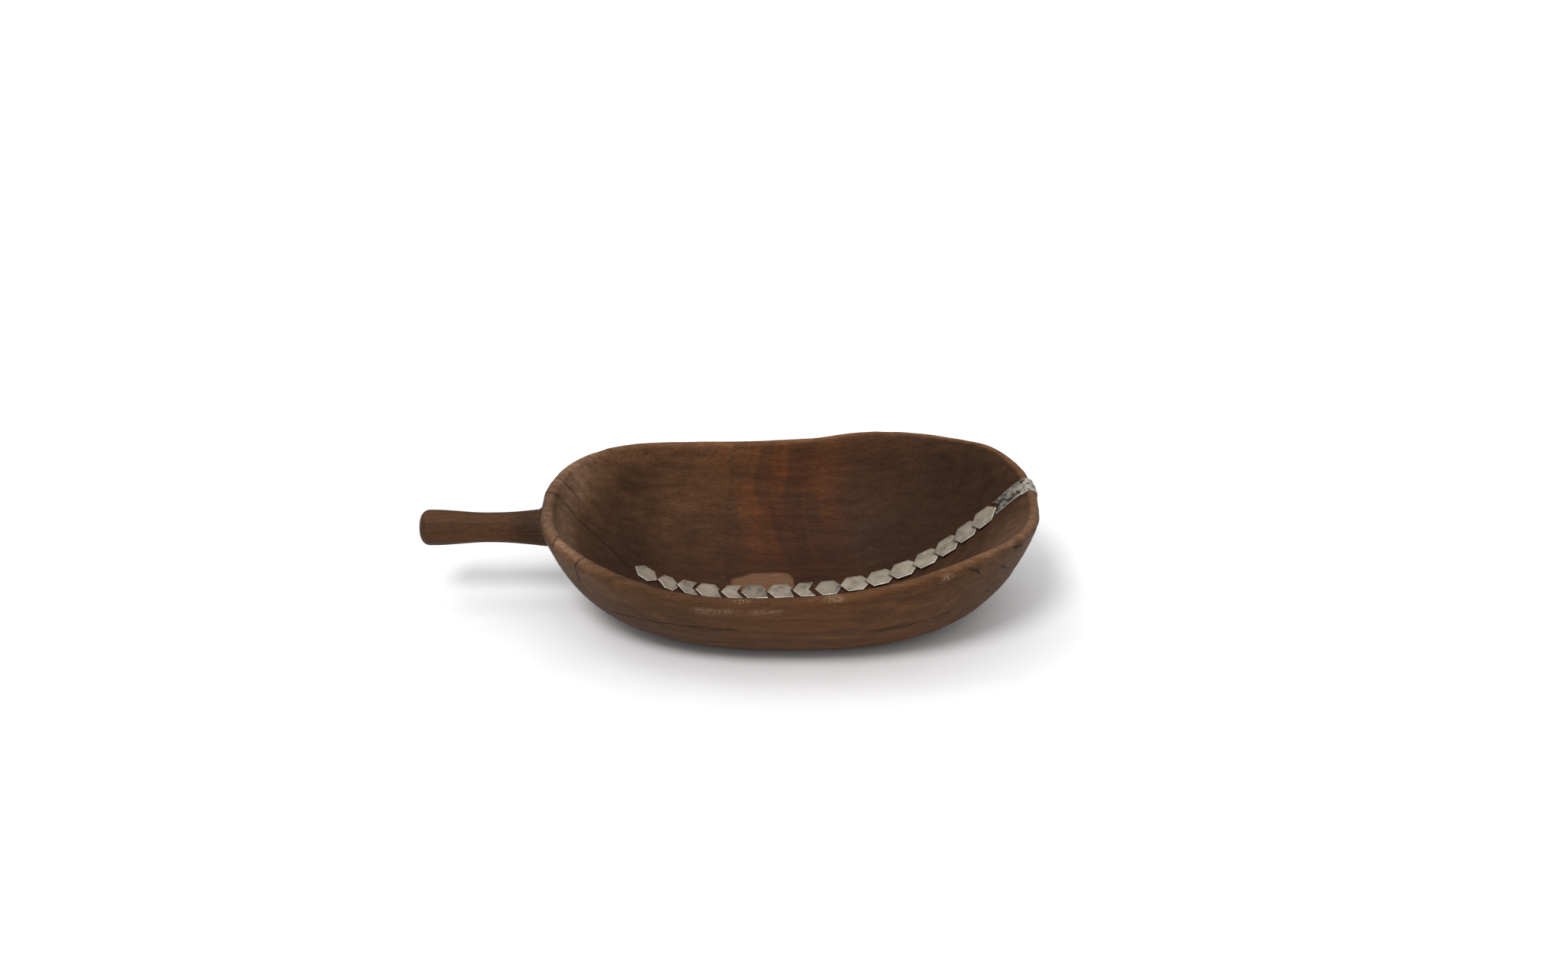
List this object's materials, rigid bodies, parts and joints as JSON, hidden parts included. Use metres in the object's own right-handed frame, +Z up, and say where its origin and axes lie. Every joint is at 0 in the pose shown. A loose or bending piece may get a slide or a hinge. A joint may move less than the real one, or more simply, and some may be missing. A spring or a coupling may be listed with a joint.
{
  "type": "wooden bowl",
  "caption": "Oval carved wooden bowl with a round stub handle, an undulating rim and a long crack mended with overlapping hexagonal metal plates and a rim strap.",
  "frame": {"origin": "middle of the flat rest face under the bowl", "axes": "+Z up out of the bowl, -X along the handle towards its end, +Y towards the higher long side of the rim"},
  "size_m": [0.4294, 0.2064, 0.0875],
  "materials": {
    "wood": "dry, worn, dark brown with fine open pores",
    "plate_metal": "hand-cut sheet, dull brushed grey with small dents",
    "strap_metal": "thin sheet, dull, with dark pits"
  },
  "bodies": {
    "root": {"bowl": "wood", "plate_01": "plate_metal", "plate_02": "plate_metal", "plate_03": "plate_metal", "plate_04": "plate_metal", "plate_05": "plate_metal", "plate_06": "plate_metal", "plate_07": "plate_metal", "plate_08": "plate_metal", "plate_09": "plate_metal", "plate_10": "plate_metal", "plate_11": "plate_metal", "plate_12": "plate_metal", "plate_13": "plate_metal", "plate_14": "plate_metal", "plate_15": "plate_metal", "plate_16": "plate_metal", "rim_strap": "strap_metal"}
  },
  "joints": []
}
